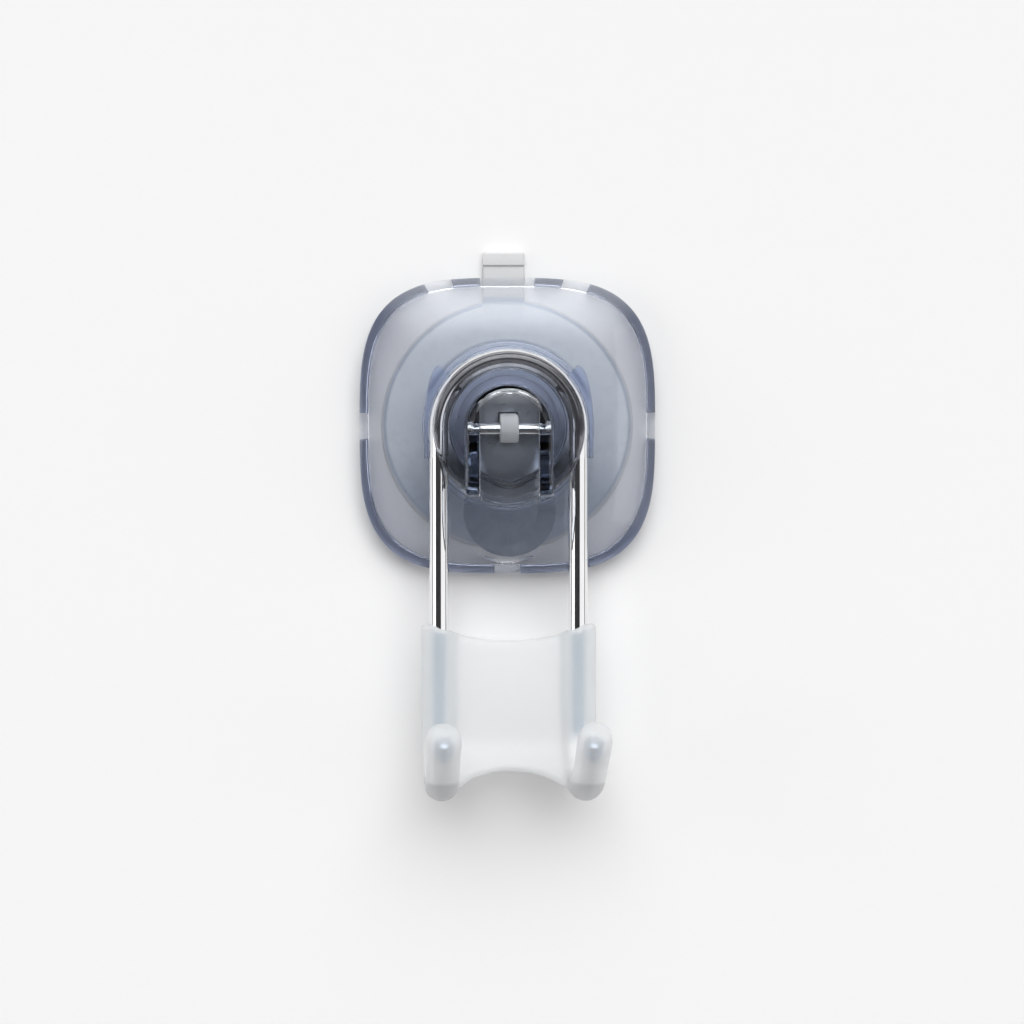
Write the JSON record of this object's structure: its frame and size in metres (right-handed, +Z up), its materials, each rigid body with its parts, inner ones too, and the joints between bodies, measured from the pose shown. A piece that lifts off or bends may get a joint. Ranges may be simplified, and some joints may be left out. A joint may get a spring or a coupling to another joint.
{
  "type": "suction wall hook",
  "caption": "Lever-lock suction cup in a squarish smoky clear housing, carrying a bent chrome wire that ends in a pair of sleeved J-hooks for hanging things on a smooth wall.",
  "frame": {"origin": "on the wall plane, at the centre of the suction cup", "axes": "+X to the right seen from the front, +Y into the wall, +Z up"},
  "size_m": [0.0734, 0.047, 0.1338],
  "materials": {
    "smoky_housing": "clear, tinted smoky blue, polished",
    "smoky_hub": "clear, tinted smoky blue, polished",
    "smoky_lever": "clear, tinted smoky blue, polished",
    "cup_rubber": "translucent, satin",
    "white_plastic": "white, satin",
    "pin_steel": "bright drawn",
    "plate_steel": "bright stamped",
    "chrome_wire": "polished chrome",
    "sleeve_rubber": "translucent white, satin"
  },
  "bodies": {
    "housing": {"housing_shell": "smoky_housing", "hub_collar": "smoky_hub", "cam_plate": "plate_steel", "suction_cup": "cup_rubber", "wire_hook": "chrome_wire", "grip_sleeve": "sleeve_rubber"},
    "stem_slider": {"stem": "white_plastic", "pivot_pin": "pin_steel"},
    "lever": {"lever": "smoky_lever"}
  },
  "joints": [
    {"name": "stem_slide", "type": "slide", "parent": "housing", "child": "stem_slider", "axis": [0, 1, 0], "range_m": [0, 0.00201], "deforming": ["suction_cup"]},
    {"name": "lever_hinge", "type": "hinge", "parent": "stem_slider", "child": "lever", "pos_m": [0, -0.022, 0], "axis": [-1, 0, 0], "range_deg": [0, 72]}
  ],
  "couplings": [
    {"joint": "stem_slide", "follows": "lever_hinge", "m_per_rad": 0.0016}
  ]
}
